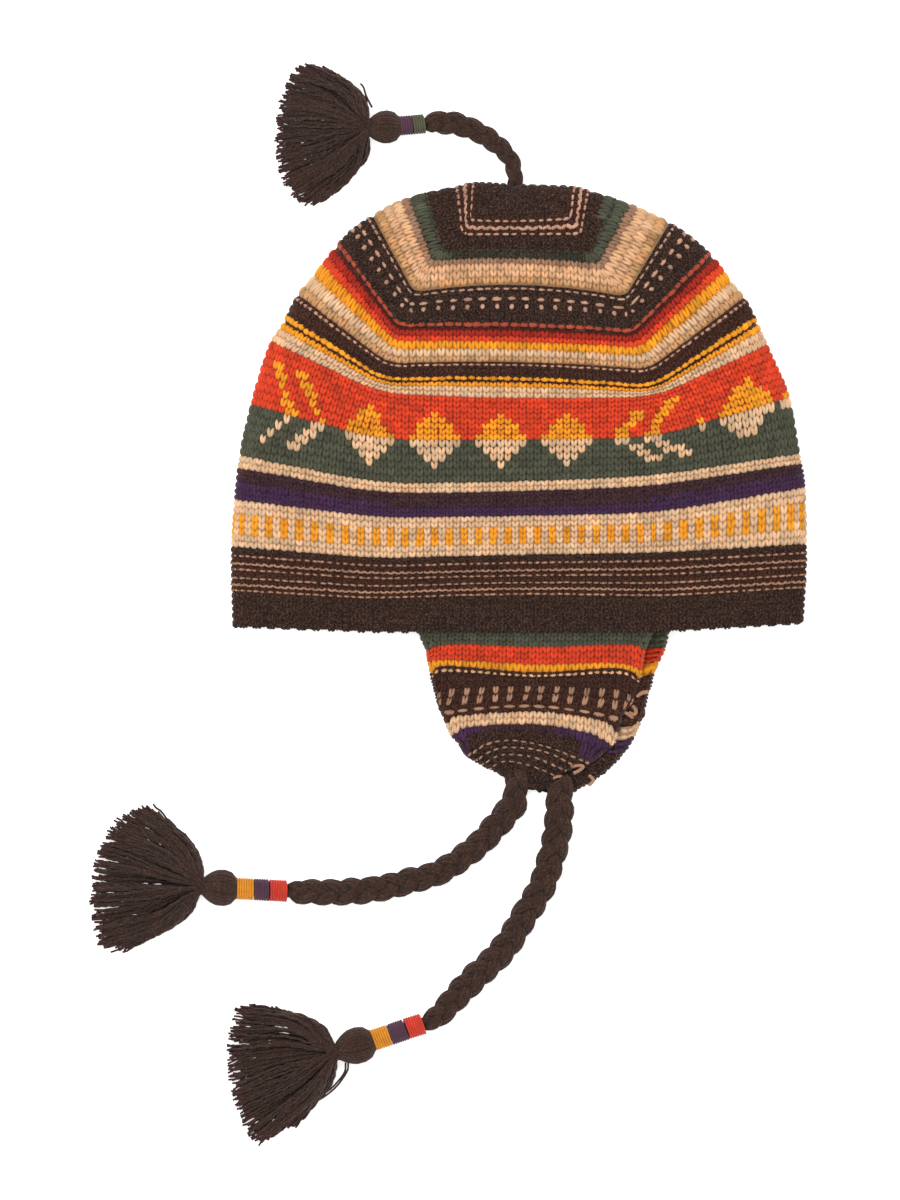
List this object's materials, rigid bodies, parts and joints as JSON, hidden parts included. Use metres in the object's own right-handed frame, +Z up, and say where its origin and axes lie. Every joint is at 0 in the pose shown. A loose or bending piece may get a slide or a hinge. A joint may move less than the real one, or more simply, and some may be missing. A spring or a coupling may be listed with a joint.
{
  "type": "earflap hat",
  "caption": "Knitted wool hat with earflaps, folded flat on its side: striped crown, plaited cord with tassel on the crown and on each flap's tip.",
  "frame": {"origin": "on the table, under the middle of the box round crown and flaps, without the cords", "axes": "+Z up from the table the hat lies on, +Y from the flaps to the tip of the crown, +X to the right seen from above"},
  "size_m": [0.3212, 0.4872, 0.024],
  "materials": {
    "crown_knit": "striped wool knit, matt and slightly hairy",
    "flap_knit": "striped wool knit, matt and slightly hairy",
    "brown_yarn": "heathered brown wool yarn, matt",
    "green_yarn": "wound wool yarn, matt",
    "purple_yarn": "wound wool yarn, matt",
    "red_yarn": "wound wool yarn, matt",
    "yellow_yarn": "wound wool yarn, matt"
  },
  "bodies": {
    "root": {"crown": "crown_knit", "flap_near": "flap_knit", "flap_far": "flap_knit", "braid_top": "brown_yarn", "braid_near": "brown_yarn", "braid_far": "brown_yarn", "wrap_top_green": "green_yarn", "wrap_top_purple": "purple_yarn", "wrap_near_red": "red_yarn", "wrap_near_purple": "purple_yarn", "wrap_near_yellow": "yellow_yarn", "wrap_far_red": "red_yarn", "wrap_far_purple": "purple_yarn", "wrap_far_yellow": "yellow_yarn", "tassel_top": "brown_yarn", "tassel_near": "brown_yarn", "tassel_far": "brown_yarn"}
  },
  "joints": []
}
